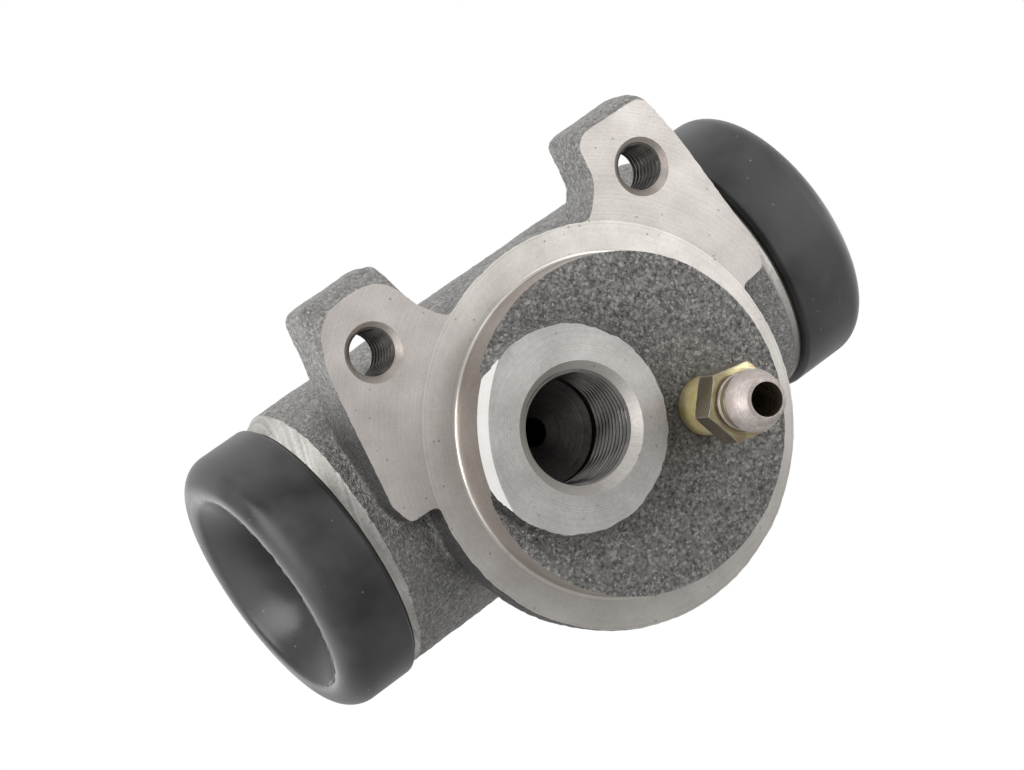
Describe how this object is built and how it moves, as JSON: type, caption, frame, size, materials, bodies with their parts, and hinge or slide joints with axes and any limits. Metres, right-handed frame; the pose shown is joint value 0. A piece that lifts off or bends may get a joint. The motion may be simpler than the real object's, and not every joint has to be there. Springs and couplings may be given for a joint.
{
  "type": "wheel cylinder",
  "caption": "Drum brake wheel cylinder: cast barrel with hub flange, spigot, threaded ears and inlet port, bleed screw, and rubber-booted pistons at its ends.",
  "frame": {"origin": "hub centre on the mounting face, on the spigot's axis", "axes": "+X along the bore, -Y out of the mounting face along the spigot, +Z from the hub towards the ears"},
  "size_m": [0.0704, 0.0497, 0.0466],
  "materials": {
    "housing_iron": "rough as cast, with turned and faced surfaces",
    "zinc_steel": "yellow zinc plate with an iridescent tint",
    "boot_rubber": "matt moulded rubber",
    "piston_alloy": "turned",
    "cup_rubber": "smooth moulded rubber",
    "pressed_steel": "pressed sheet",
    "spring_steel": "drawn wire"
  },
  "bodies": {
    "housing": {"housing": "housing_iron", "left_boot": "boot_rubber", "right_boot": "boot_rubber", "return_spring": "spring_steel"},
    "left_piston": {"left_piston": "piston_alloy", "left_cup": "cup_rubber", "left_expander": "pressed_steel"},
    "right_piston": {"right_piston": "piston_alloy", "right_cup": "cup_rubber", "right_expander": "pressed_steel"},
    "bleed_screw": {"bleed_screw": "zinc_steel"}
  },
  "joints": [
    {"name": "left_piston_slide", "type": "slide", "parent": "housing", "child": "left_piston", "axis": [-1, 0, 0], "range_m": [-0.0006, 0.005], "deforming": ["left_boot", "return_spring"]},
    {"name": "right_piston_slide", "type": "slide", "parent": "housing", "child": "right_piston", "axis": [1, 0, 0], "range_m": [-0.0006, 0.005], "deforming": ["right_boot", "return_spring"]},
    {"name": "bleed_screw_turn", "type": "hinge", "parent": "housing", "child": "bleed_screw", "pos_m": [0.0078, -0.0041, -0.003], "axis": [0, -1, 0], "range_deg": [0, 360]}
  ]
}
